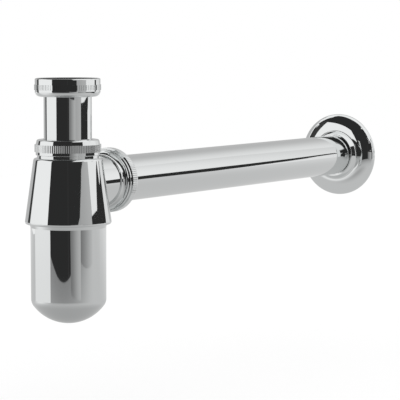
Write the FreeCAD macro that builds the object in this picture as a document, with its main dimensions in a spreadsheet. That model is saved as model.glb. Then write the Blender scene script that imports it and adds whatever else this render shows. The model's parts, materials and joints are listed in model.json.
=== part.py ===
# Chromed brass bottle trap for a washbasin, in millimetres.
# The origin is the centre of the inlet nut's mouth. +Z is up along the bottle, and the outlet runs along +Y.
import FreeCAD, Part
import Sketcher
import math
import os
import re

SIZES = {
    # Tubes, both of the 32 mm standard
    "tube_radius": 16.0,
    "tube_wall": 1.0,
    "slide_gap": 0.3,
    # Play between a screw thread and its nut
    "thread_gap": 0.3,
    # Knurled bands: round ridges on the slip nuts, flat ones on the inlet nut
    "nut_wall": 1.1,
    "ridge_count": 100,
    "ridge_height": 0.15,
    "ridge_root": 1.36,
    "ridge_sink": 0.07,
    "flat_ridge_height": 0.4,
    "flat_ridge_root": 1.2,
    "flat_ridge_tip": 1.08,
    "flat_ridge_sink": 0.25,
    # Inlet nut
    "inlet_nut_height": 12.2,
    "inlet_nut_base": 2.0,
    "inlet_nut_round": 3.6,
    "inlet_rim_round": 0.8,
    "inlet_knurl_rise": 0.9,
    "inlet_knurl_height": 3.5,
    "recess_step": 0.8,
    # Collar rolled on the inlet tube, and the gasket on it
    "collar_thickness": 1.5,
    "collar_gap": 0.3,
    "gasket_thickness": 2.5,
    "gasket_lip": 0.2,
    # Length of inlet tube in view between the two nuts
    "inlet_reach": 28.4,
    # Slip nut, used on the neck and on the branch
    "skirt_wall": 0.75,
    "skirt_height": 2.2,
    "skirt_round": 0.35,
    "slip_knurl_height": 5.0,
    "band_rise": 0.25,
    "shoulder_step": 0.4,
    "shoulder_height": 3.3,
    "crown_taper": 0.7,
    "crown_round": 1.2,
    "cap_thickness": 1.6,
    # Slip ring and cone seal under each slip nut
    "ring_gap": 0.6,
    "slip_ring_thickness": 1.2,
    "seal_width": 2.7,
    "seal_stand": 0.8,
    "seal_gap": 0.1,
    "seal_short": 0.8,
    "seat_depth": 4.6,
    "neck_lip": 1.4,
    # Step ring below each slip nut
    "step_width": 0.2,
    "step_height": 1.5,
    "nut_clearance": 0.3,
    # Bell
    "bell_shoulder": 2.3,
    "bell_wall": 2.3,
    "bell_roof": 2.5,
    "bell_lip_wall": 2.7,
    "bell_lip_round": 1.6,
    "bell_top_round": 1.8,
    "ledge_width": 2.5,
    "outlet_sill": 0.4,
    "outlet_shoulder": 0.5,
    # Cup
    "cup_radius": 25.35,
    "cup_draft": 0.18,
    "cup_wall": 1.5,
    "cup_drop": 66.75,
    "cup_rise": 9.0,
    "cup_thread_height": 0.85,
    "cup_flare": 0.4,
    "cup_flare_height": 2.2,
    "cup_corner_round": 7.6,
    "dome_extra": 4.23,
    "cup_seal_thickness": 2.0,
    "dip_clearance": 25.8,
    # Outlet branch
    "branch_wall": 1.0,
    "branch_reach": 41.2,
    "branch_round": 1.0,
    "branch_cove": 3.0,
    "tube_insert": 14.0,
    "tube_spare": 6.0,
    # Wall flange, and the tube's end behind it
    "wall_distance": 387.0,
    "wall_stub": 20.0,
    "flange_radius": 33.2,
    "flange_wall": 1.2,
    "flange_lip": 2.4,
    "flange_rim_round": 3.0,
    "flange_neck_wall": 1.2,
    "flange_neck_length": 4.6,
    "flange_neck_round": 0.5,
    "flange_flare": 2.1,
    "flange_base_round": 1.2,
    "dish_radius": 22.0,
}

# Least volume that a cut has to take away, and how near an edge's place has to be to count as found
LEAST_CUT = 1.0
FOUND = 1e-4

# Radii that follow from the tubes. A thread is drawn as a cylinder at its outside.
tube_bore = "(tube_radius - tube_wall)"
tube_hole = "(tube_radius + slide_gap)"
seat_radius = f"({tube_hole} + seal_width)"
thread_radius = f"({seat_radius} + neck_lip)"
nut_bore = f"({thread_radius} + thread_gap)"
nut_radius = f"({nut_bore} + nut_wall)"
skirt_radius = f"({nut_bore} + skirt_wall)"
band_radius = f"({nut_radius} + band_rise)"
shoulder_radius = f"({nut_radius} - shoulder_step)"
crown_radius = f"({shoulder_radius} - crown_taper)"
recess_radius = f"({nut_bore} - recess_step)"
collar_radius = f"({recess_radius} - collar_gap)"
ring_radius = f"({nut_bore} - ring_gap)"
step_radius = f"({thread_radius} + step_width)"
branch_radius = f"({tube_hole} + branch_wall)"

# Inlet nut, from its underside up
inlet_seat = "(inlet_nut_base + collar_thickness + gasket_thickness)"
collar_top = "(inlet_nut_base + collar_thickness - inlet_nut_height)"

# Slip nut, from its open end up
knurl_top = "(skirt_height + slip_knurl_height)"
slip_nut_height = f"({knurl_top} + shoulder_height)"
slip_nut_roof = f"({slip_nut_height} - cap_thickness)"

# Slip joint, from the foot of the step ring up
nut_start = "(step_height + nut_clearance)"
ring_start = f"({nut_start} + {slip_nut_roof} - slip_ring_thickness)"
neck_end = f"({ring_start} - seal_stand)"
seat_end = f"({neck_end} - seat_depth)"
seal_depth = "(seat_depth - seal_short)"
seal_end = f"({neck_end} - {seal_depth})"

# Cup, from its lowest point up
cup_foot_radius = "(cup_radius - cup_draft)"
cup_thread_radius = "(cup_radius + cup_thread_height)"
dome_radius = f"({cup_foot_radius} + dome_extra)"
dome_edge = f"({dome_radius} - sqrt({dome_radius}^2 - {cup_foot_radius}^2))"
inner_foot_radius = f"({cup_foot_radius} - cup_wall)"
inner_dome_radius = f"({dome_radius} - cup_wall)"
inner_dome_edge = f"({dome_radius} - sqrt({inner_dome_radius}^2 - {inner_foot_radius}^2))"
cup_top = "(cup_drop + cup_rise)"

# Bell, from its lower edge up: the cup's socket, the waterway above its ledge, then the branch's full height
cup_bore = f"({cup_thread_radius} + thread_gap)"
cup_bore_depth = "(cup_rise + cup_seal_thickness)"
ledge_radius = f"({cup_bore} - ledge_width)"
bell_radius = f"({cup_bore} + bell_lip_wall)"
bell_top_radius = f"({step_radius} + bell_shoulder)"
roof_radius = f"({bell_top_radius} - bell_wall)"
outlet_height = f"({cup_bore_depth} + outlet_sill + {tube_bore})"
bell_height = f"({outlet_height} + {branch_radius} + outlet_shoulder)"

# Levels in the part's frame
clamp_nut_top = "(-inlet_nut_height - inlet_reach)"
bell_top = f"({clamp_nut_top} - {slip_nut_height} - {nut_start})"
bell_bottom = f"({bell_top} - {bell_height})"
cup_bottom = f"({bell_bottom} - cup_drop)"
outlet_level = f"({bell_bottom} + {outlet_height})"

# Distances from the bottle's axis along the outlet
branch_end = f"(branch_reach + {neck_end})"
tube_start = f"({branch_end} - tube_insert)"
tube_stop = f"({tube_start} - tube_spare)"

# Flange, from its lip towards the wall
flange_neck_radius = f"({tube_hole} + flange_neck_wall)"
flange_base_radius = f"({flange_neck_radius} + flange_flare)"
dish_rise = f"sqrt(dish_radius^2 - (flange_radius - {flange_base_radius})^2)"
dish_edge = f"(flange_neck_length + dish_radius - {dish_rise})"
flange_depth = f"({dish_edge} + flange_lip)"

doc = FreeCAD.newDocument("bottle_trap")
sheet = doc.addObject("Spreadsheet::Sheet", "Sizes")
for row, (alias, number) in enumerate(SIZES.items(), start=1):
    sheet.set(f"A{row}", alias)
    sheet.set(f"B{row}", str(number))
    sheet.setAlias(f"B{row}", alias)
doc.recompute()


def bound(expression):
    """The expression with each size's name pointing at its cell."""
    def cell(match):
        word = match.group(0)
        return f"Sizes.{word}" if word in SIZES else word
    return re.sub(r"[a-z_]+", cell, expression)


def value(expression):
    """What an expression comes to with the present sizes."""
    return float(sheet.evalExpression(bound(expression)))


def new_body(label, height, along="0", outward=False):
    """An empty body at its level and its distance along the outlet. Its own axis is +Z, or +Y if outward."""
    body = doc.addObject("PartDesign::Body", label)
    body.Label = label
    if outward:
        body.Placement.Rotation = FreeCAD.Rotation(FreeCAD.Vector(1, 0, 0), -90)
    body.setExpression("Placement.Base.y", bound(along))
    body.setExpression("Placement.Base.z", bound(height))
    return body


def origin_part(body, role):
    """A plane or axis of the body's own origin."""
    return next(item for item in body.Origin.OriginFeatures if item.Role == role)


def new_sketch(body, name, role, lift="0", rise="0"):
    """A sketch on one of the body's origin planes, moved along its normal and up in its plane."""
    sketch = body.newObject("Sketcher::SketchObject", f"{body.Name}_{name}")
    sketch.AttachmentSupport = [(origin_part(body, role), "")]
    sketch.MapMode = "FlatFace"
    sketch.setExpression("AttachmentOffset.Base.y", bound(rise))
    sketch.setExpression("AttachmentOffset.Base.z", bound(lift))
    return sketch


def arc_between(start, end, radius, side):
    """An arc between two points. Its centre is left of the way from start to end if side is 1, else right."""
    chord = end - start
    leftward = FreeCAD.Vector(-chord.y, chord.x, 0).normalize()
    reach = math.sqrt(radius ** 2 - (chord.Length / 2) ** 2)
    centre = start + chord * 0.5 + leftward * (side * reach)
    first, last = (start, end) if side > 0 else (end, start)
    angles = [math.atan2(point.y - centre.y, point.x - centre.x) for point in (first, last)]
    return Part.ArcOfCircle(Part.Circle(centre, FreeCAD.Vector(0, 0, 1), radius), *angles)


def place_point(sketch, geometry, position, across, up):
    """Ties one end of a line or arc to its two distances from the sketch's axes."""
    for kind, axis, expression in (("DistanceX", -2, across), ("DistanceY", -1, up)):
        if expression == "0":
            sketch.addConstraint(Sketcher.Constraint("PointOnObject", geometry, position, axis))
            continue
        index = sketch.addConstraint(Sketcher.Constraint(kind, geometry, position, value(expression)))
        sketch.setExpression(f"Constraints[{index}]", bound(expression))


def draw_outline(sketch, outline):
    """A closed outline of corners (across, up). A corner (across, up, radius, side) is reached by an arc."""
    points = [FreeCAD.Vector(value(corner[0]), value(corner[1]), 0) for corner in outline]
    pieces = []
    for number, corner in enumerate(outline):
        start = points[number - 1]
        end = points[number]
        if len(corner) == 2:
            geometry = sketch.addGeometry(Part.LineSegment(start, end), False)
            pieces.append((geometry, 1, 2))
            continue
        radius, side = corner[2:]
        geometry = sketch.addGeometry(arc_between(start, end, value(radius), side), False)
        pieces.append((geometry, 1, 2) if side > 0 else (geometry, 2, 1))
        index = sketch.addConstraint(Sketcher.Constraint("Radius", geometry, value(radius)))
        sketch.setExpression(f"Constraints[{index}]", bound(radius))
    for number, corner in enumerate(outline):
        geometry, _, last = pieces[number]
        following, first, _ = pieces[(number + 1) % len(pieces)]
        sketch.addConstraint(Sketcher.Constraint("Coincident", geometry, last, following, first))
        place_point(sketch, geometry, last, corner[0], corner[1])


def turn(body, name, outline, cut=False, axis="V_Axis", role="XZ_Plane", rise="0"):
    """Turns an outline a full round about one axis of its sketch, adding to the body or cutting from it."""
    sketch = new_sketch(body, name, role, rise=rise)
    draw_outline(sketch, outline)
    before = body.Shape.Volume if cut else 0.0
    kind = "PartDesign::Groove" if cut else "PartDesign::Revolution"
    feature = body.newObject(kind, f"{body.Name}_{name}_turned")
    feature.Profile = sketch
    feature.ReferenceAxis = (sketch, [axis])
    feature.Angle = 360
    doc.recompute()
    if cut and feature.Shape.Volume > before - LEAST_CUT:
        raise RuntimeError(f"{feature.Name} cuts nothing")
    return feature


def fillet(body, feature, names, radius):
    """Rounds the named edges of a feature."""
    rounded = body.newObject("PartDesign::Fillet", f"{feature.Name}_rounded")
    rounded.Base = (feature, names)
    rounded.setExpression("Radius", bound(radius))
    doc.recompute()
    return rounded


def round_edge(body, feature, edge_radius, height, radius):
    """Rounds the circular edge about the body's axis that has this radius and height."""
    names = []
    for number, edge in enumerate(feature.Shape.Edges, start=1):
        if edge.Degenerated or not isinstance(edge.Curve, Part.Circle):
            continue
        centre = edge.Curve.Center
        apart = max(abs(edge.Curve.Radius - value(edge_radius)), abs(centre.z - value(height)))
        if max(apart, abs(centre.x), abs(centre.y)) < FOUND:
            names.append(f"Edge{number}")
    if not names:
        raise RuntimeError(f"{feature.Name} has no edge at {edge_radius}, {height}")
    return fillet(body, feature, names, radius)


def knurl(body, low, height, outline):
    """A band of straight ridges round a nut, from its low edge up, each with this outline."""
    sketch = new_sketch(body, "ridge", "XY_Plane", lift=low)
    draw_outline(sketch, outline)
    ridge = body.newObject("PartDesign::Pad", f"{body.Name}_ridge_pad")
    ridge.Profile = sketch
    ridge.setExpression("Length", bound(height))
    doc.recompute()
    band = body.newObject("PartDesign::PolarPattern", f"{body.Name}_knurl")
    band.Originals = [ridge]
    band.Axis = (origin_part(body, "Z_Axis"), [""])
    band.Angle = 360
    band.setExpression("Occurrences", bound("ridge_count"))
    body.Tip = band
    doc.recompute()


def make_inlet_nut():
    """Union nut: threaded mouth up, a recess for the collar and gasket, and a rounded underside."""
    body = new_body("inlet_nut", "-inlet_nut_height")
    turned = turn(body, "section", [
        (tube_hole, "0"),
        (nut_radius, "0"),
        (nut_radius, "inlet_nut_height"),
        (nut_bore, "inlet_nut_height"),
        (nut_bore, inlet_seat),
        (recess_radius, inlet_seat),
        (recess_radius, "inlet_nut_base"),
        (tube_hole, "inlet_nut_base"),
    ])
    under = round_edge(body, turned, nut_radius, "0", "inlet_nut_round")
    round_edge(body, under, nut_radius, "inlet_nut_height", "inlet_rim_round")
    foot = f"({nut_radius} - flat_ridge_sink)"
    tip = f"({nut_radius} + flat_ridge_height)"
    knurl(body, "inlet_nut_round + inlet_knurl_rise", "inlet_knurl_height", [
        (foot, "-flat_ridge_root / 2"),
        (tip, "-flat_ridge_tip / 2"),
        (tip, "flat_ridge_tip / 2"),
        (foot, "flat_ridge_root / 2"),
    ])
    return body


def make_inlet_tube():
    """Straight tube with a rolled collar at its top. Its lower end dips into the cup."""
    foot = f"({cup_bottom} + dip_clearance)"
    length = f"({collar_top} - {foot})"
    body = new_body("inlet_tube", foot)
    turn(body, "section", [
        (tube_bore, "0"),
        ("tube_radius", "0"),
        ("tube_radius", f"{length} - collar_thickness"),
        (collar_radius, f"{length} - collar_thickness"),
        (collar_radius, length),
        (tube_bore, length),
    ])
    return body


def make_inlet_gasket():
    """Flat washer that lies on the tube's collar."""
    body = new_body("inlet_gasket", collar_top)
    hole = f"({tube_bore} + gasket_lip)"
    turn(body, "section", [
        (hole, "0"),
        (collar_radius, "0"),
        (collar_radius, "gasket_thickness"),
        (hole, "gasket_thickness"),
    ])
    return body


def make_slip_nut(label, height, along, outward):
    """Slip nut: a skirt, a knurled band, a tapered shoulder and a cap with a hole for the tube."""
    body = new_body(label, height, along, outward)
    turned = turn(body, "section", [
        (nut_bore, "0"),
        (skirt_radius, "0"),
        (skirt_radius, "skirt_height"),
        (band_radius, "skirt_height"),
        (band_radius, knurl_top),
        (shoulder_radius, knurl_top),
        (crown_radius, slip_nut_height),
        (tube_hole, slip_nut_height),
        (tube_hole, slip_nut_roof),
        (nut_bore, slip_nut_roof),
    ])
    crowned = round_edge(body, turned, crown_radius, slip_nut_height, "crown_round")
    round_edge(body, crowned, skirt_radius, "0", "skirt_round")
    foot = f"({band_radius} - ridge_sink)"
    bulge = "(ridge_sink + ridge_height)"
    ridge_radius = f"((ridge_root^2 / 4 + {bulge}^2) / (2 * {bulge}))"
    knurl(body, "skirt_height", "slip_knurl_height", [
        (foot, "-ridge_root / 2"),
        (foot, "ridge_root / 2", ridge_radius, 1),
    ])
    return body


def make_slip_ring(label, height, along, outward):
    """Flat ring that slides between the nut's cap and the seal."""
    body = new_body(label, height, along, outward)
    turn(body, "section", [
        (tube_hole, "0"),
        (ring_radius, "0"),
        (ring_radius, "slip_ring_thickness"),
        (tube_hole, "slip_ring_thickness"),
    ])
    return body


def make_cone_seal(label, height, along, outward):
    """Ring whose conical nose fills the seat round the tube. Its brim stands above the neck's mouth."""
    body = new_body(label, height, along, outward)
    brim = f"({seat_radius} - seal_gap)"
    nose = f"({brim} - seal_width * {seal_depth} / seat_depth)"
    turn(body, "section", [
        (tube_hole, "0"),
        (nose, "0"),
        (brim, seal_depth),
        (brim, f"{seal_depth} + seal_stand"),
        (tube_hole, f"{seal_depth} + seal_stand"),
    ])
    return body


def make_slip_joint(prefix, foot, outward=False):
    """The nut, slip ring and cone seal of one slip joint, above the step ring whose foot is given."""
    pieces = []
    for make, name, station in (
        (make_slip_nut, "nut", nut_start),
        (make_slip_ring, "slip_ring", ring_start),
        (make_cone_seal, "seal", seal_end),
    ):
        place = f"{foot} + {station}"
        height, along = (outlet_level, place) if outward else (place, "0")
        pieces.append(make(f"{prefix}_{name}", height, along, outward))
    return pieces


def make_trap_body():
    """Casting: a bell with a threaded neck and a threaded outlet branch, hollow and open at the bottom."""
    body = new_body("trap_body", bell_bottom)
    neck_top = f"({bell_height} + {neck_end})"
    step_top = f"({bell_height} + step_height)"
    roof = f"({bell_height} - bell_roof)"
    bell = turn(body, "bell", [
        ("0", "0"),
        (bell_radius, "0"),
        (bell_top_radius, bell_height),
        (step_radius, bell_height),
        (step_radius, step_top),
        (thread_radius, step_top),
        (thread_radius, neck_top),
        ("0", neck_top),
    ])
    shouldered = round_edge(body, bell, bell_top_radius, bell_height, "bell_top_round")
    round_edge(body, shouldered, bell_radius, "0", "bell_lip_round")
    outward = {"axis": "H_Axis", "role": "YZ_Plane", "rise": outlet_height}
    branch = turn(body, "branch", [
        ("0", "0"),
        ("0", branch_radius),
        ("branch_reach - branch_cove", branch_radius),
        ("branch_reach", f"{branch_radius} + branch_cove", "branch_cove", 1),
        ("branch_reach", step_radius),
        ("branch_reach + step_height", step_radius),
        ("branch_reach + step_height", thread_radius),
        (branch_end, thread_radius),
        (branch_end, "0"),
    ], **outward)
    root = [f"Edge{number}" for number, edge in enumerate(branch.Shape.Edges, start=1)
            if isinstance(edge.Curve, Part.BSplineCurve)]
    fillet(body, branch, root, "branch_round")
    turn(body, "inside", [
        ("0", "0"),
        (cup_bore, "0"),
        (cup_bore, cup_bore_depth),
        (ledge_radius, cup_bore_depth),
        (roof_radius, roof),
        (tube_hole, roof),
        (tube_hole, f"{bell_height} + {seat_end}"),
        (seat_radius, neck_top),
        ("0", neck_top),
    ], cut=True)
    turn(body, "waterway", [
        ("0", "0"),
        ("0", tube_bore),
        (tube_stop, tube_bore),
        (tube_stop, tube_hole),
        (f"branch_reach + {seat_end}", tube_hole),
        (branch_end, seat_radius),
        (branch_end, "0"),
    ], cut=True, **outward)
    return body


def make_cup():
    """Drawn cup with a shallow dome for a floor and a threaded rim that goes up into the bell."""
    body = new_body("cup", cup_bottom)
    turned = turn(body, "section", [
        ("0", "0"),
        (cup_foot_radius, dome_edge, dome_radius, 1),
        ("cup_radius", "cup_drop - cup_flare_height"),
        ("cup_radius + cup_flare", "cup_drop"),
        (cup_thread_radius, "cup_drop"),
        (cup_thread_radius, cup_top),
        ("cup_radius - cup_wall", cup_top),
        (inner_foot_radius, inner_dome_edge),
        ("0", "cup_wall", inner_dome_radius, -1),
    ])
    footed = round_edge(body, turned, cup_foot_radius, dome_edge, "cup_corner_round")
    round_edge(body, footed, inner_foot_radius, inner_dome_edge, "cup_corner_round - cup_wall")
    return body


def make_cup_seal():
    """Flat ring between the cup's rim and the ledge in the bell."""
    body = new_body("cup_seal", f"{bell_bottom} + cup_rise")
    turn(body, "section", [
        (ledge_radius, "0"),
        (cup_thread_radius, "0"),
        (cup_thread_radius, "cup_seal_thickness"),
        (ledge_radius, "cup_seal_thickness"),
    ])
    return body


def make_outlet_tube():
    """Straight tube from the branch through the flange, with its end in the wall."""
    body = new_body("outlet_tube", outlet_level, tube_start, outward=True)
    length = f"(wall_distance + wall_stub - {tube_start})"
    turn(body, "section", [
        (tube_bore, "0"),
        ("tube_radius", "0"),
        ("tube_radius", length),
        (tube_bore, length),
    ])
    return body


def make_wall_flange():
    """Dished flange: a short flared neck round the tube, a shallow dome and a rounded rim, hollow behind."""
    body = new_body("wall_flange", outlet_level, f"wall_distance - {flange_depth}", outward=True)
    inner_rim = "(flange_radius - flange_wall)"
    inner_dish = "(dish_radius - flange_wall)"
    inner_rise = f"sqrt({inner_dish}^2 - ({inner_rim} - {flange_base_radius})^2)"
    inner_floor = "(flange_neck_length + flange_wall)"
    turned = turn(body, "section", [
        (tube_hole, "0"),
        (flange_neck_radius, "0"),
        (flange_base_radius, "flange_neck_length"),
        ("flange_radius", dish_edge, "dish_radius", 1),
        ("flange_radius", flange_depth),
        (inner_rim, flange_depth),
        (inner_rim, f"flange_neck_length + dish_radius - {inner_rise}"),
        (flange_base_radius, inner_floor, inner_dish, -1),
        (tube_hole, inner_floor),
    ])
    rimmed = round_edge(body, turned, "flange_radius", dish_edge, "flange_rim_round")
    flared = round_edge(body, rimmed, flange_base_radius, "flange_neck_length", "flange_base_round")
    round_edge(body, flared, flange_neck_radius, "0", "flange_neck_round")
    return body


def main():
    parts = [
        make_inlet_nut(),
        make_inlet_tube(),
        make_inlet_gasket(),
        make_trap_body(),
        *make_slip_joint("clamp", bell_top),
        *make_slip_joint("outlet", "branch_reach", outward=True),
        make_cup(),
        make_cup_seal(),
        make_outlet_tube(),
        make_wall_flange(),
    ]
    doc.recompute()
    for item in doc.Objects:
        if "Invalid" in item.State or "Error" in item.State:
            raise RuntimeError(f"{item.Name} failed: {item.State}")
    for body in parts:
        if body.Shape.isNull() or not body.Shape.isValid():
            raise RuntimeError(f"{body.Label} has no valid shape")
    os.makedirs("parts", exist_ok=True)
    for body in parts:
        body.Shape.exportStep(f"parts/{body.Label}.step")


main()
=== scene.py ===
"""Finishes, screw threads, studio and camera for a chromed bottle trap."""

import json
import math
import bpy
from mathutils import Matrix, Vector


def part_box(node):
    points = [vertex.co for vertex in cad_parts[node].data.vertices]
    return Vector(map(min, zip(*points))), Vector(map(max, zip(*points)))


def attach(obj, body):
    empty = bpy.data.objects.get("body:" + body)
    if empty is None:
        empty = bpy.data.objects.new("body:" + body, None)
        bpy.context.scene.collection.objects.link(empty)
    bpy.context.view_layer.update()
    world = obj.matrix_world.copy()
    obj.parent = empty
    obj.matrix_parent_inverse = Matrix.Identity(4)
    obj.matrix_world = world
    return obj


bl_info = {
    "name": "Bottle Trap Finish",
    "version": (1, 0, 0),
    "blender": (4, 5, 0),
    "location": "View3D > Sidebar > Bottle Trap",
    "description": "Chrome, rubber and nylon finishes, screw threads and a studio for a bottle trap",
    "category": "Object",
}

from typing import NamedTuple

import bmesh
import bpy
from mathutils import Vector

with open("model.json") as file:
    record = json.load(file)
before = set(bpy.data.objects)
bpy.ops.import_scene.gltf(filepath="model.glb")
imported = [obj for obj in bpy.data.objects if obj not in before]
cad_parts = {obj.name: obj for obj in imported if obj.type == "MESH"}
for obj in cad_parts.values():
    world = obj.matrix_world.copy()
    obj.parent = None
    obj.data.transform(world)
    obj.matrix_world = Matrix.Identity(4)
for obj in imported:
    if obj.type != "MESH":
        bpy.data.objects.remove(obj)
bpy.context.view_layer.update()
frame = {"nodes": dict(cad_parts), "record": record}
MM = 0.001
SENSOR = 36.0
# How far inside the tube's outside the bare brass starts, and how much rougher it is than the plating
BORE_INSET = 0.4 * MM
BORE_DULLNESS = 0.35
# Part of the noise's range that shows as smears: where they start, and where they are full
SMEAR_SPAN = (0.45, 0.75)

# Screw threads: how deep a wall is searched for its radius, the bare wall left at a thread's ends, and the
# lengths of the threads in the nuts and the bell
LOOK = 3.0 * MM
BARE_END = 0.6 * MM
INLET_THREAD_START = -5.6 * MM
INLET_THREAD_LENGTH = 5.0 * MM
NUT_THREAD_LENGTH = 6.0 * MM
BELL_THREAD_LENGTH = 8.0 * MM
# Size of a thread's ridge at its very ends, merging distance, and the angle from which an edge stays sharp
FADED = 0.04
MERGE = 0.0005 * MM
SHARP = math.radians(35.0)

# World light on all that isn't metal. Lit by it, the floor's own glow and its matt colour add up to white.
AMBIENT = 1.0
FLOOR_GLOW = 0.565
FLOOR_MATT = 0.45
# Shade of the dark flags and walls, and the straight steps of a bent card
DARK = 0.028
BENT_STEPS = 32
# Directions along which a card's shade may drift
ACROSS = (1.0, 0.0, 0.0)
ALONG = (0.0, 1.0, 0.0)
UPWARD = (0.0, 0.0, 1.0)
FRONT = (0.342, -0.940, 0.0)
TO_RIGHT = (0.72, 0.69, 0.0)

# Both tubes share one radius. The bottle stands on the Z axis, and the outlet lies along Y at this height.
tube_low, tube_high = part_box("outlet_tube")
TUBE_RADIUS = tube_high.x
OUTLET_LEVEL = (tube_low.z + tube_high.z) / 2


def radius_about(node, outward, low, high):
    """Largest radius of a node between two stations on the bottle's axis, or on the outlet's if outward."""
    found = 0.0
    for vertex in frame["nodes"][node].data.vertices:
        across, along, up = vertex.co
        station = along if outward else up
        if low <= station <= high:
            found = max(found, math.hypot(across, up - OUTLET_LEVEL if outward else along))
    return found


def size(label, words, default, unit="LENGTH", **limits):
    """A number that a user may change."""
    return bpy.props.FloatProperty(
        name=label, description=words, default=default, unit=unit, precision=5, **limits)


def colour(label, words, default):
    """A colour that a user may change."""
    return bpy.props.FloatVectorProperty(
        name=label, description=words, default=default, size=3, subtype="COLOR", min=0.0, max=1.0)


class TrapFinishSettings(bpy.types.PropertyGroup):
    chrome: colour("Chrome", "Colour of the plating", (0.80, 0.815, 0.815))
    brass: colour("Brass", "Colour of the bare metal inside the tubes", (0.58, 0.43, 0.21))
    rubber: colour("Rubber", "Colour of the seals", (0.022, 0.022, 0.024))
    nylon: colour("Nylon", "Colour of the slip rings", (0.74, 0.74, 0.70))
    polish: size("Polish", "Roughness of the best polished plating", 0.02, "NONE", min=0.0, max=1.0)


class TrapThreadSettings(bpy.types.PropertyGroup):
    pitch: size("Pitch", "Rise of the thread in one turn", 2.309 * MM)
    height: size("Height", "Height of the thread's ridge", 0.22 * MM)
    root: size("Root", "Width of the ridge where it stands on the wall", 1.05 * MM)
    crest: size("Crest", "Width of the ridge at its top", 0.4 * MM)
    sink: size("Sink", "Depth of the ridge's foot in the wall", 0.02 * MM)
    runout: size("Run-out", "Share of a turn over which the ridge fades at each end", 0.2, "NONE")
    steps: bpy.props.IntProperty(name="Steps", description="Straight steps in one turn", default=96, min=12)


class TrapStageSettings(bpy.types.PropertyGroup):
    azimuth: size("Azimuth", "Camera's bearing, from -Y towards +X", math.radians(31.745), "ROTATION")
    elevation: size("Elevation", "Camera's height above the horizon", math.radians(4.825), "ROTATION")
    distance: size("Distance", "Camera's distance from its target", 1.4753)
    lens: size("Lens", "Focal length in millimetres on a 36 mm sensor", 179.67, "NONE")
    target: bpy.props.FloatVectorProperty(
        name="Target", description="Point that the camera looks at",
        default=(0.0, 0.16716, -0.0932), subtype="XYZ")
    floor_level: size("Floor level", "Height of the floor", -0.226)


# Node helpers

def link(tree, start, end):
    """Joins an output socket to an input socket."""
    tree.links.new(start, end)


def new_node(tree, kind, **values):
    """A node of one kind, with its properties set."""
    node = tree.nodes.new(kind)
    for key, value in values.items():
        setattr(node, key, value)
    return node


def math_node(tree, operation, first, second):
    """One step of arithmetic on two values. Each is a socket or a number."""
    node = new_node(tree, "ShaderNodeMath", operation=operation)
    for socket, value in zip(node.inputs, (first, second)):
        if isinstance(value, (int, float)):
            socket.default_value = value
        else:
            link(tree, value, socket)
    return node.outputs[0]


def new_group(name, inputs, outputs):
    """A shader group with named sockets. Returns it with its two end nodes."""
    group = bpy.data.node_groups.new(name, "ShaderNodeTree")
    for label, kind, default in inputs:
        socket = group.interface.new_socket(label, in_out="INPUT", socket_type=kind)
        socket.default_value = default
    for label in outputs:
        group.interface.new_socket(label, in_out="OUTPUT", socket_type="NodeSocketFloat")
    return group, group.nodes.new("NodeGroupInput"), group.nodes.new("NodeGroupOutput")


def shared_group(name, build):
    """The group of this name, built the first time that a material asks for it."""
    return bpy.data.node_groups.get(name) or build(name)


# Effects that several finishes share

def build_haze(name):
    """Faint smears of handling: a roughness that drifts over the surface."""
    group, start, end = new_group(name, (
        ("Polish", "NodeSocketFloat", 0.02),
        ("Haze", "NodeSocketFloat", 0.03),
        ("Scale", "NodeSocketFloat", 60.0),
    ), ("Roughness",))
    place = new_node(group, "ShaderNodeTexCoord")
    noise = new_node(group, "ShaderNodeTexNoise")
    noise.inputs["Detail"].default_value = 5.0
    noise.inputs["Distortion"].default_value = 0.6
    spread = new_node(group, "ShaderNodeMapRange")
    spread.inputs["From Min"].default_value, spread.inputs["From Max"].default_value = SMEAR_SPAN
    link(group, place.outputs["Object"], noise.inputs["Vector"])
    link(group, start.outputs["Scale"], noise.inputs["Scale"])
    link(group, noise.outputs["Fac"], spread.inputs["Value"])
    smear = math_node(group, "MULTIPLY", spread.outputs["Result"], start.outputs["Haze"])
    link(group, math_node(group, "ADD", smear, start.outputs["Polish"]), end.inputs["Roughness"])
    return group


def build_ripple(name):
    """Slow unevenness that polishing leaves in plated brass, as a height."""
    group, start, end = new_group(name, (
        ("Vector", "NodeSocketVector", (0.0, 0.0, 0.0)),
        ("Scale", "NodeSocketFloat", 40.0),
    ), ("Height",))
    noise = new_node(group, "ShaderNodeTexNoise")
    noise.inputs["Detail"].default_value = 1.0
    noise.inputs["Roughness"].default_value = 0.3
    link(group, start.outputs["Vector"], noise.inputs["Vector"])
    link(group, start.outputs["Scale"], noise.inputs["Scale"])
    link(group, noise.outputs["Fac"], end.inputs["Height"])
    return group


def build_band(name):
    """A mask that is 1 where the distance from the Z axis of the vector is below a radius."""
    group, start, end = new_group(name, (
        ("Vector", "NodeSocketVector", (0.0, 0.0, 0.0)),
        ("Radius", "NodeSocketFloat", 0.01),
        ("Softness", "NodeSocketFloat", 0.0002),
    ), ("Inside",))
    flat = new_node(group, "ShaderNodeVectorMath", operation="MULTIPLY")
    flat.inputs[1].default_value = (1.0, 1.0, 0.0)
    reach = new_node(group, "ShaderNodeVectorMath", operation="LENGTH")
    link(group, start.outputs["Vector"], flat.inputs[0])
    link(group, flat.outputs["Vector"], reach.inputs[0])
    short = math_node(group, "SUBTRACT", start.outputs["Radius"], reach.outputs["Value"])
    share = math_node(group, "DIVIDE", short, start.outputs["Softness"])
    limit = new_node(group, "ShaderNodeClamp")
    link(group, share, limit.inputs["Value"])
    link(group, limit.outputs["Result"], end.inputs["Inside"])
    return group


def place_group(tree, name, build, **values):
    """Puts a shared group into a material. A value is a number or a socket."""
    node = new_node(tree, "ShaderNodeGroup", node_tree=shared_group(name, build))
    for label, value in values.items():
        if isinstance(value, bpy.types.NodeSocket):
            link(tree, value, node.inputs[label])
        else:
            node.inputs[label].default_value = value
    return node


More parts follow.
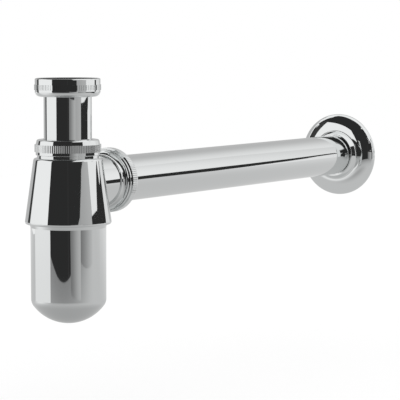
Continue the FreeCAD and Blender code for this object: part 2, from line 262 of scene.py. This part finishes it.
def axis_vector(tree, outward, stretch=1.0):
    """Object coordinates centred on a piece's axis, with that axis turned to Z and stretched along it."""
    place = new_node(tree, "ShaderNodeTexCoord")
    turned = new_node(tree, "ShaderNodeMapping", vector_type="POINT")
    if outward:
        turned.inputs["Location"].default_value = (0.0, -OUTLET_LEVEL, 0.0)
        turned.inputs["Rotation"].default_value = (math.pi / 2, 0.0, 0.0)
    link(tree, place.outputs["Object"], turned.inputs["Vector"])
    drawn = new_node(tree, "ShaderNodeVectorMath", operation="MULTIPLY")
    drawn.inputs[1].default_value = (1.0, 1.0, stretch)
    link(tree, turned.outputs["Vector"], drawn.inputs[0])
    return turned.outputs["Vector"], drawn.outputs["Vector"]


def plated(name, outward=False, bore=0.0, haze=0.02, ripple=0.0, ripple_scale=40.0, stretch=1.0):
    """Polished chrome plate. Where the distance from the axis is below the bore, the brass is bare."""
    look = bpy.context.scene.trap_finish
    material = bpy.data.materials.new(name)
    material.use_nodes = True
    tree = material.node_tree
    shader = tree.nodes["Principled BSDF"]
    shader.inputs["Metallic"].default_value = 1.0
    shader.inputs["Base Color"].default_value = (*look.chrome, 1.0)
    straight, drawn = axis_vector(tree, outward, stretch)
    smears = place_group(tree, "Handling haze", build_haze, Polish=look.polish, Haze=haze)
    roughness = smears.outputs["Roughness"]
    if bore:
        band = place_group(tree, "Inside radius", build_band, Vector=straight, Radius=bore)
        inside = band.outputs["Inside"]
        mix = new_node(tree, "ShaderNodeMix", data_type="RGBA")
        mix.inputs["A"].default_value = (*look.chrome, 1.0)
        mix.inputs["B"].default_value = (*look.brass, 1.0)
        link(tree, inside, mix.inputs["Factor"])
        link(tree, mix.outputs["Result"], shader.inputs["Base Color"])
        dull = math_node(tree, "MULTIPLY", inside, BORE_DULLNESS)
        roughness = math_node(tree, "ADD", roughness, dull)
    link(tree, roughness, shader.inputs["Roughness"])
    waves = place_group(tree, "Polish ripple", build_ripple, Vector=drawn, Scale=ripple_scale)
    bump = new_node(tree, "ShaderNodeBump")
    bump.inputs["Strength"].default_value = 1.0
    bump.inputs["Distance"].default_value = ripple
    link(tree, waves.outputs["Height"], bump.inputs["Height"])
    link(tree, bump.outputs["Normal"], shader.inputs["Normal"])
    return material


def moulded(name, tint, roughness, grain, scale):
    """Moulded rubber or plastic with a fine grain."""
    material = bpy.data.materials.new(name)
    material.use_nodes = True
    tree = material.node_tree
    shader = tree.nodes["Principled BSDF"]
    shader.inputs["Base Color"].default_value = (*tint, 1.0)
    smears = place_group(tree, "Handling haze", build_haze, Polish=roughness, Haze=0.2, Scale=90.0)
    link(tree, smears.outputs["Roughness"], shader.inputs["Roughness"])
    straight, _ = axis_vector(tree, False)
    waves = place_group(tree, "Polish ripple", build_ripple, Vector=straight, Scale=scale)
    bump = new_node(tree, "ShaderNodeBump")
    bump.inputs["Strength"].default_value = 0.6
    bump.inputs["Distance"].default_value = grain
    link(tree, waves.outputs["Height"], bump.inputs["Height"])
    link(tree, bump.outputs["Normal"], shader.inputs["Normal"])
    return material


def finish(material, *nodes):
    """Gives CAD pieces a finish."""
    for name in nodes:
        frame["nodes"][name].material_slots[0].material = material


class TRAP_OT_plate_tubes(bpy.types.Operator):
    """Chrome on the two tubes, with bare brass in their bores"""
    bl_idname = "trap.plate_tubes"
    bl_label = "Plate Tubes"

    def execute(self, context):
        bore = TUBE_RADIUS - BORE_INSET
        finish(plated("Inlet tube chrome", bore=bore, ripple=0.02 * MM), "inlet_tube")
        finish(plated("Outlet tube chrome", outward=True, bore=bore, ripple=0.03 * MM), "outlet_tube")
        return {"FINISHED"}


class TRAP_OT_plate_body(bpy.types.Operator):
    """Chrome on the cast body and the drawn cup"""
    bl_idname = "trap.plate_body"
    bl_label = "Plate Body and Cup"

    def execute(self, context):
        finish(plated("Bell chrome", ripple=0.05 * MM), "trap_body")
        finish(plated("Cup chrome", ripple=0.25 * MM, stretch=0.5), "cup")
        return {"FINISHED"}


class TRAP_OT_plate_nuts(bpy.types.Operator):
    """Chrome on the three knurled nuts"""
    bl_idname = "trap.plate_nuts"
    bl_label = "Plate Nuts"

    def execute(self, context):
        chrome = plated("Nut chrome", haze=0.05, ripple=0.04 * MM)
        finish(chrome, "inlet_nut", "clamp_nut", "outlet_nut")
        return {"FINISHED"}


class TRAP_OT_plate_flange(bpy.types.Operator):
    """Chrome on the spun wall flange"""
    bl_idname = "trap.plate_flange"
    bl_label = "Plate Flange"

    def execute(self, context):
        finish(plated("Flange chrome", outward=True, ripple=0.04 * MM), "wall_flange")
        return {"FINISHED"}


class TRAP_OT_finish_seals(bpy.types.Operator):
    """Rubber on the seals and gasket, nylon on the slip rings"""
    bl_idname = "trap.finish_seals"
    bl_label = "Finish Seals and Rings"

    def execute(self, context):
        look = context.scene.trap_finish
        rubber = moulded("Seal rubber", look.rubber, roughness=0.5, grain=0.05 * MM, scale=900.0)
        nylon = moulded("Slip ring nylon", look.nylon, roughness=0.35, grain=0.02 * MM, scale=600.0)
        finish(rubber, "inlet_gasket", "clamp_seal", "outlet_seal", "cup_seal")
        finish(nylon, "clamp_slip_ring", "outlet_slip_ring")
        return {"FINISHED"}


# Screw threads

class Thread(NamedTuple):
    """A screw thread: its name, what carries it, the wall's radius and its stretch along the axis."""
    name: str
    body: str
    radius: float
    start: float
    length: float
    outward: bool = False
    inwards: bool = False


def thread_tree():
    """Geometry nodes that wind one ridge round the Z axis, then turn it and set it in place."""
    tree = bpy.data.node_groups.new("Screw thread", "GeometryNodeTree")
    for label, kind in (
        ("Radius", "NodeSocketFloat"), ("Pitch", "NodeSocketFloat"), ("Turns", "NodeSocketFloat"),
        ("Height", "NodeSocketFloat"), ("Root", "NodeSocketFloat"), ("Crest", "NodeSocketFloat"),
        ("Sink", "NodeSocketFloat"), ("Run-out", "NodeSocketFloat"), ("Steps", "NodeSocketInt"),
        ("Place", "NodeSocketVector"), ("Turn", "NodeSocketRotation"), ("Finish", "NodeSocketMaterial"),
    ):
        tree.interface.new_socket(label, in_out="INPUT", socket_type=kind)
    tree.interface.new_socket("Geometry", in_out="OUTPUT", socket_type="NodeSocketGeometry")
    start = tree.nodes.new("NodeGroupInput")
    end = tree.nodes.new("NodeGroupOutput")
    given = start.outputs

    spiral = new_node(tree, "GeometryNodeCurveSpiral")
    spiral.inputs["Reverse"].default_value = True
    link(tree, given["Steps"], spiral.inputs["Resolution"])
    link(tree, given["Turns"], spiral.inputs["Rotations"])
    link(tree, given["Radius"], spiral.inputs["Start Radius"])
    link(tree, given["Radius"], spiral.inputs["End Radius"])
    link(tree, math_node(tree, "MULTIPLY", given["Pitch"], given["Turns"]), spiral.inputs["Height"])
    upright = new_node(tree, "GeometryNodeSetCurveNormal", mode="Z_UP")
    link(tree, spiral.outputs["Curve"], upright.inputs["Curve"])

    # The profile's X points at the axis, so a ridge that stands outwards has its crest at minus its height
    profile = new_node(tree, "GeometryNodeCurvePrimitiveQuadrilateral", mode="POINTS")
    crest_line = math_node(tree, "MULTIPLY", given["Height"], -1.0)
    corners = (("Root", given["Sink"], -0.5), ("Crest", crest_line, -0.5),
               ("Crest", crest_line, 0.5), ("Root", given["Sink"], 0.5))
    for number, (width, depth, side) in enumerate(corners, start=1):
        corner = new_node(tree, "ShaderNodeCombineXYZ")
        link(tree, depth, corner.inputs["X"])
        link(tree, math_node(tree, "MULTIPLY", given[width], side), corner.inputs["Y"])
        link(tree, corner.outputs["Vector"], profile.inputs[f"Point {number}"])

    # The ridge fades towards both ends of the spiral
    along = new_node(tree, "GeometryNodeSplineParameter").outputs["Factor"]
    nearest = math_node(tree, "MINIMUM", along, math_node(tree, "SUBTRACT", 1.0, along))
    fade = new_node(tree, "ShaderNodeMapRange")
    link(tree, math_node(tree, "MULTIPLY", nearest, given["Turns"]), fade.inputs["Value"])
    link(tree, given["Run-out"], fade.inputs["From Max"])
    fade.inputs["To Min"].default_value = FADED

    sweep = new_node(tree, "GeometryNodeCurveToMesh")
    sweep.inputs["Fill Caps"].default_value = True
    link(tree, upright.outputs["Curve"], sweep.inputs["Curve"])
    link(tree, profile.outputs["Curve"], sweep.inputs["Profile Curve"])
    link(tree, fade.outputs["Result"], sweep.inputs["Scale"])
    moved = new_node(tree, "GeometryNodeTransform")
    link(tree, sweep.outputs["Mesh"], moved.inputs["Geometry"])
    link(tree, given["Place"], moved.inputs["Translation"])
    link(tree, given["Turn"], moved.inputs["Rotation"])
    real = new_node(tree, "GeometryNodeRealizeInstances")
    link(tree, moved.outputs["Geometry"], real.inputs["Geometry"])
    painted = new_node(tree, "GeometryNodeSetMaterial")
    link(tree, real.outputs["Geometry"], painted.inputs["Geometry"])
    link(tree, given["Finish"], painted.inputs["Material"])
    link(tree, painted.outputs["Geometry"], end.inputs["Geometry"])
    return tree


def plain_mesh(name, tree, values):
    """What a geometry tree makes of these values, as a plain mesh object."""
    maker = bpy.data.objects.new(f"{name}_maker", bpy.data.meshes.new(f"{name}_maker"))
    bpy.context.scene.collection.objects.link(maker)
    modifier = maker.modifiers.new("Thread", "NODES")
    modifier.node_group = tree
    for item in tree.interface.items_tree:
        if item.in_out == "INPUT":
            modifier[item.identifier] = values[item.name]
    depsgraph = bpy.context.evaluated_depsgraph_get()
    mesh = bpy.data.meshes.new_from_object(maker.evaluated_get(depsgraph))
    maker.modifiers.remove(modifier)
    bpy.data.objects.remove(maker)
    mesh.name = name
    work = bmesh.new()
    work.from_mesh(mesh)
    bmesh.ops.remove_doubles(work, verts=work.verts, dist=MERGE)
    bmesh.ops.recalc_face_normals(work, faces=work.faces)
    work.to_mesh(mesh)
    work.free()
    mesh.shade_smooth()
    mesh.set_sharp_from_angle(angle=SHARP)
    piece = bpy.data.objects.new(name, mesh)
    bpy.context.scene.collection.objects.link(piece)
    return piece


class TRAP_OT_cut_threads(bpy.types.Operator):
    """Screw threads on the necks, the cup and in the nuts"""
    bl_idname = "trap.cut_threads"
    bl_label = "Cut Threads"

    def execute(self, context):
        settings = context.scene.trap_thread
        tree = thread_tree()
        material = plated("Thread chrome", haze=0.08)
        for thread in self.threads(settings.pitch / 2):
            side = -1.0 if thread.inwards else 1.0
            piece = plain_mesh(thread.name, tree, {
                "Radius": thread.radius,
                "Pitch": settings.pitch,
                "Turns": thread.length / settings.pitch,
                "Height": settings.height * side,
                "Root": settings.root,
                "Crest": settings.crest,
                "Sink": settings.sink * side,
                "Run-out": settings.runout,
                "Steps": settings.steps,
                "Place": (0.0, thread.start, OUTLET_LEVEL) if thread.outward else (0.0, 0.0, thread.start),
                "Turn": (-math.pi / 2 if thread.outward else 0.0, 0.0, 0.0),
                "Finish": material,
            })
            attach(piece, thread.body)
        return {"FINISHED"}

    def threads(self, half_pitch):
        """All threads, in the places that the CAD gives. Two that mate lie half a pitch apart."""
        body_low, body_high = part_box("trap_body")
        nut_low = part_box("clamp_nut")[0].z
        union_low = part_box("outlet_nut")[0].y
        cup_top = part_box("cup")[1].z
        neck = radius_about("trap_body", False, body_high.z - LOOK, body_high.z)
        rim = radius_about("cup", False, cup_top - LOOK, cup_top)
        mounts = frame["record"]["mounts"]
        socket = next(mount for mount in mounts if mount["kind"] == "threaded_hole")["dims"]["r_mm"] * MM
        play = socket - neck
        bell_start = body_low.z + BARE_END
        return (
            Thread("inlet_nut_thread", "inlet_nut", socket, INLET_THREAD_START, INLET_THREAD_LENGTH,
                   inwards=True),
            Thread("neck_thread", "trap_body", neck, nut_low, body_high.z - nut_low - BARE_END),
            Thread("clamp_nut_thread", "clamp_nut", socket, nut_low + half_pitch, NUT_THREAD_LENGTH,
                   inwards=True),
            Thread("branch_thread", "trap_body", neck, union_low, body_high.y - union_low - BARE_END,
                   outward=True),
            Thread("outlet_nut_thread", "outlet_nut", socket, union_low + half_pitch, NUT_THREAD_LENGTH,
                   outward=True, inwards=True),
            Thread("cup_thread", "cup", rim, bell_start, cup_top - body_low.z - 2 * BARE_END),
            Thread("bell_thread", "trap_body", rim + play, bell_start + half_pitch, BELL_THREAD_LENGTH,
                   inwards=True),
        )


# Studio

def spot(bearing, distance, height):
    """A place in the studio: bearing from -Y towards +X in degrees, distance from the bottle, and height."""
    turned = math.radians(bearing)
    return (distance * math.sin(turned), -distance * math.cos(turned), height)


def drift(tree, axis, span, values):
    """A value that drifts from one number to another along an axis of the studio, as a socket."""
    place = new_node(tree, "ShaderNodeTexCoord")
    along = new_node(tree, "ShaderNodeVectorMath", operation="DOT_PRODUCT")
    along.inputs[1].default_value = axis
    spread = new_node(tree, "ShaderNodeMapRange", interpolation_type="SMOOTHSTEP")
    for label, value in zip(("From Min", "From Max", "To Min", "To Max"), (*span, *values)):
        spread.inputs[label].default_value = value
    link(tree, place.outputs["Object"], along.inputs[0])
    link(tree, along.outputs["Value"], spread.inputs["Value"])
    return spread.outputs["Result"]


def glowing(name, shade, axis=None, span=None):
    """Material of a card that shines in one shade of grey, or in two that blend along an axis."""
    material = bpy.data.materials.new(name)
    material.use_nodes = True
    tree = material.node_tree
    tree.nodes.clear()
    shine = new_node(tree, "ShaderNodeEmission")
    out = new_node(tree, "ShaderNodeOutputMaterial")
    link(tree, shine.outputs["Emission"], out.inputs["Surface"])
    if axis:
        link(tree, drift(tree, axis, span, shade), shine.inputs["Color"])
    else:
        shine.inputs["Color"].default_value = (shade, shade, shade, 1.0)
    return material


def card(name, material, corners, faces=None):
    """A stage object that only the chrome sees."""
    mesh = bpy.data.meshes.new(name)
    mesh.from_pydata(corners, [], faces or [tuple(range(len(corners)))])
    mesh.materials.append(material)
    piece = bpy.data.objects.new(name, mesh)
    bpy.context.scene.collection.objects.link(piece)
    piece.visible_camera = False
    piece.visible_diffuse = False
    piece.visible_shadow = False
    piece.visible_transmission = False
    return piece


def placed_card(name, material, *places):
    """A card whose corners are given by bearing, distance and height."""
    return card(name, material, [spot(*place) for place in places])


def upright_card(name, material, start, end, low, high):
    """A card that stands between two places given by bearing and distance."""
    return placed_card(name, material, (*start, low), (*end, low), (*end, high), (*start, high))


def bent_card(name, material, radius, first, last, low, high):
    """A card bent round the bottle's axis between two bearings."""
    corners = []
    for number in range(BENT_STEPS + 1):
        bearing = first + (last - first) * number / BENT_STEPS
        corners += [spot(bearing, radius, low), spot(bearing, radius, high)]
    faces = [(2 * n, 2 * n + 2, 2 * n + 3, 2 * n + 1) for n in range(BENT_STEPS)]
    return card(name, material, corners, faces)


def shade_near(tree, centre, radius, share):
    """A factor that goes from a share at a place on the floor to 1 at a distance from it, as a socket."""
    place = new_node(tree, "ShaderNodeTexCoord")
    reach = new_node(tree, "ShaderNodeVectorMath", operation="DISTANCE")
    reach.inputs[1].default_value = centre
    fade = new_node(tree, "ShaderNodeMapRange", interpolation_type="SMOOTHSTEP")
    fade.inputs["From Max"].default_value = radius
    fade.inputs["To Min"].default_value = share
    link(tree, place.outputs["Object"], reach.inputs[0])
    link(tree, reach.outputs["Value"], fade.inputs["Value"])
    return fade.outputs["Result"]


def floor_material(level):
    """A floor white to the camera, with a shadow, and to the chrome grey with painted light and shade,
    darker in front.
    """
    material = bpy.data.materials.new("Floor")
    material.use_nodes = True
    tree = material.node_tree
    tree.nodes.clear()
    # The grey that the chrome sees is painted light and shade: darker towards the front edge and lighter
    # towards the back
    tone = drift(tree, FRONT, span=(-0.10, 0.85), values=(0.60, 0.24))
    # Painted pool of light on the floor near the foot of the left panel
    painted_light_pool = shade_near(tree, (-0.33, -0.22, level), radius=0.30, share=1.6)
    # Painted shadow of the bottle on the floor under the cup
    painted_cup_shadow = shade_near(tree, (0.0, 0.0, level), radius=0.22, share=0.70)
    far_side = drift(tree, FRONT, span=(-1.2, -0.30), values=(1.28, 1.0))
    for factor in (painted_light_pool, painted_cup_shadow, far_side):
        tone = math_node(tree, "MULTIPLY", tone, factor)
    # The chrome sees this painted light and shade as a glow of the floor
    grey = new_node(tree, "ShaderNodeEmission")
    link(tree, tone, grey.inputs["Color"])
    matt = new_node(tree, "ShaderNodeBsdfDiffuse")
    matt.inputs["Color"].default_value = (FLOOR_MATT, FLOOR_MATT, FLOOR_MATT, 1.0)
    pale = new_node(tree, "ShaderNodeEmission")
    pale.inputs["Color"].default_value = (FLOOR_GLOW, FLOOR_GLOW, FLOOR_GLOW, 1.0)
    seen = new_node(tree, "ShaderNodeAddShader")
    link(tree, pale.outputs["Emission"], seen.inputs[0])
    link(tree, matt.outputs["BSDF"], seen.inputs[1])
    path = new_node(tree, "ShaderNodeLightPath")
    choose = new_node(tree, "ShaderNodeMixShader")
    link(tree, path.outputs["Is Glossy Ray"], choose.inputs["Fac"])
    link(tree, seen.outputs["Shader"], choose.inputs[1])
    link(tree, grey.outputs["Emission"], choose.inputs[2])
    out = new_node(tree, "ShaderNodeOutputMaterial")
    link(tree, choose.outputs["Shader"], out.inputs["Surface"])
    return material


def set_panels(floor):
    """Pale panels that draw the light bands on the bottle and the outlet tube."""
    placed_card("left_panel", glowing("Left panel", (0.86, 1.0), UPWARD, (floor, -0.02)),
                (-20.0, 0.50, floor), (-84.0, 0.50, floor), (-84.0, 0.50, 0.350), (-20.0, 0.50, 0.240))
    placed_card("low_panel", glowing("Low panel", (0.20, 0.50), ALONG, (-0.50, -0.18)),
                (41.5, 0.66, floor), (41.5, 0.66, -0.034), (72.0, 0.60, -0.034), (72.0, 0.60, floor))
    placed_card("tall_panel", glowing("Tall panel", (0.43, 0.50), ALONG, (-0.31, 0.20)),
                (67.0, 0.90, -0.125), (67.0, 0.90, 0.070), (78.0, 0.90, 0.113),
                (112.0, 0.90, 0.127), (112.0, 0.90, -0.125))
    upright_card("tall_panel_foot", glowing("Tall panel foot", (0.20, 0.60), ALONG, (-0.35, 0.50)),
                 (69.5, 0.90), (112.0, 0.90), floor, -0.125)
    placed_card("right_strip", glowing("Right strip", 0.40),
                (52.0, 0.76, 0.008), (70.0, 0.635, 0.000), (70.0, 0.635, 0.024), (52.0, 0.76, 0.020))
    placed_card("side_panel", glowing("Side panel", 0.93),
                (102.5, 0.70, -0.15), (143.0, 0.56, -0.15), (143.0, 0.56, 0.10), (102.5, 0.70, 0.30))
    upright_card("white_wall", glowing("White wall", (1.0, 0.78), ALONG, (0.9, 2.0)),
                 (126.0, 1.076), (165.5, 2.076), -0.06, 0.90)


def set_flags():
    """Dark flags that draw the black lines on the bell, the tubes and the flange."""
    dark = glowing("Dark flag", DARK)
    upright_card("seam", glowing("Seam", 0.042), (34.2, 1.30), (35.6, 1.30), -0.40, 0.30)
    placed_card("right_flag", dark,
                (120.7, 0.49, -0.115), (143.5, 0.289, -0.115),
                (143.5, 0.289, -0.020), (120.7, 0.49, -0.032))
    placed_card("right_flag_return", dark,
                (100.0, 0.43, -0.115), (120.7, 0.49, -0.115),
                (120.7, 0.49, -0.032), (100.0, 0.43, -0.031))
    placed_card("low_flag", dark,
                (144.5, 1.30, -0.20), (146.8, 1.35, -0.20), (147.2, 1.36, -0.08), (150.4, 1.435, -0.075),
                (153.1, 1.51, -0.052), (155.6, 1.595, -0.012), (157.9, 1.68, 0.075), (157.9, 1.68, 0.128),
                (155.9, 1.605, 0.077), (153.3, 1.52, 0.050), (150.6, 1.44, 0.036), (147.4, 1.365, 0.032),
                (144.5, 1.30, -0.015))
    upright_card("left_flag", glowing("Left flag", 0.05), (-84.5, 0.502), (-98.0, 0.66), -0.12, 0.40)
    upright_card("flange_flag", dark, (125.0, 0.73), (136.0, 0.863), -0.15, 0.30)
    bent_card("dark_corner", dark, 1.7, 91.5, 100.0, -0.8, 0.42)


def set_room(floor):
    """A dark half of the room behind the camera, a pale half behind the object, and the floor."""
    bent_card("dark_room", glowing("Dark room", (DARK, 0.80), UPWARD, (0.64, 0.85)),
              1.7, -85.4, 91.5, -0.8, 0.85)
    bent_card("backdrop", glowing("Backdrop", (0.53, 0.90), ACROSS, (-0.9, 0.9)),
              2.6, 91.5, 274.6, -0.3, 2.4)
    ceiling = 0.505
    card("dark_ceiling", glowing("Ceiling", (DARK, 0.50), TO_RIGHT, (0.06, 0.20)), [
        (-0.976, 0.09, ceiling), (-0.976, -1.8, ceiling), (1.60, -1.8, ceiling),
        (0.975, -0.81, ceiling), (0.38, -0.17, ceiling), (0.27, 0.09, ceiling)])
    ground = placed_card("floor", floor_material(floor),
                         (-45.0, 1.70, floor), (20.0, 0.715, floor), (85.0, 1.70, floor),
                         (150.0, 2.9, floor), (210.0, 2.9, floor), (260.0, 1.2, floor))
    ground.visible_camera = True
    ground.visible_diffuse = True


class TRAP_OT_set_stage(bpy.types.Operator):
    """Floor, panels, dark flags, light and camera"""
    bl_idname = "trap.set_stage"
    bl_label = "Set Stage"

    def execute(self, context):
        scene = context.scene
        stage = scene.trap_stage
        set_panels(stage.floor_level)
        set_flags()
        set_room(stage.floor_level)
        light_world(scene)
        add_camera(scene, stage)
        scene.view_settings.view_transform = "Standard"
        return {"FINISHED"}


def light_world(scene):
    """White surroundings for the camera and the chrome, and a plain level of light on everything else."""
    world = bpy.data.worlds.new("Studio")
    world.use_nodes = True
    scene.world = world
    tree = world.node_tree
    back = tree.nodes["Background"]
    path = new_node(tree, "ShaderNodeLightPath")
    shown = math_node(tree, "MAXIMUM", path.outputs["Is Camera Ray"], path.outputs["Is Glossy Ray"])
    shown = math_node(tree, "MAXIMUM", shown, path.outputs["Is Transmission Ray"])
    spread = new_node(tree, "ShaderNodeMapRange")
    spread.inputs["To Min"].default_value = AMBIENT
    link(tree, shown, spread.inputs["Value"])
    back.inputs["Color"].default_value = (1.0, 1.0, 1.0, 1.0)
    link(tree, spread.outputs["Result"], back.inputs["Strength"])


def add_camera(scene, stage):
    """A camera at the photograph's viewing angle."""
    back = Vector((math.sin(stage.azimuth) * math.cos(stage.elevation),
                   -math.cos(stage.azimuth) * math.cos(stage.elevation), math.sin(stage.elevation)))
    lens = bpy.data.cameras.new("Camera")
    lens.lens = stage.lens
    lens.sensor_width = SENSOR
    camera = bpy.data.objects.new("Camera", lens)
    camera.location = Vector(stage.target) + back * stage.distance
    camera.rotation_euler = (-back).to_track_quat("-Z", "Y").to_euler()
    scene.collection.objects.link(camera)
    scene.camera = camera


class VIEW3D_PT_bottle_trap(bpy.types.Panel):
    """Lists the steps that dress the bottle trap"""
    bl_label = "Bottle Trap"
    bl_space_type = "VIEW_3D"
    bl_region_type = "UI"
    bl_category = "Bottle Trap"

    def draw(self, context):
        for step in STEPS:
            self.layout.operator(step.bl_idname)
        for group in (context.scene.trap_finish, context.scene.trap_thread, context.scene.trap_stage):
            box = self.layout.box()
            for name in group.__annotations__:
                box.prop(group, name)


SETTINGS = (TrapFinishSettings, TrapThreadSettings, TrapStageSettings)
STEPS = (
    TRAP_OT_plate_tubes,
    TRAP_OT_plate_body,
    TRAP_OT_plate_nuts,
    TRAP_OT_plate_flange,
    TRAP_OT_finish_seals,
    TRAP_OT_cut_threads,
    TRAP_OT_set_stage,
)
CLASSES = (*SETTINGS, *STEPS, VIEW3D_PT_bottle_trap)


def register():
    for item in CLASSES:
        bpy.utils.register_class(item)
    bpy.types.Scene.trap_finish = bpy.props.PointerProperty(type=TrapFinishSettings)
    bpy.types.Scene.trap_thread = bpy.props.PointerProperty(type=TrapThreadSettings)
    bpy.types.Scene.trap_stage = bpy.props.PointerProperty(type=TrapStageSettings)


def unregister():
    del bpy.types.Scene.trap_stage
    del bpy.types.Scene.trap_thread
    del bpy.types.Scene.trap_finish
    for item in reversed(CLASSES):
        bpy.utils.unregister_class(item)


def main():
    register()
    bpy.ops.trap.plate_tubes()
    bpy.ops.trap.plate_body()
    bpy.ops.trap.plate_nuts()
    bpy.ops.trap.plate_flange()
    bpy.ops.trap.finish_seals()
    bpy.ops.trap.cut_threads()
    bpy.ops.trap.set_stage()


if __name__ == "__main__":
    main()
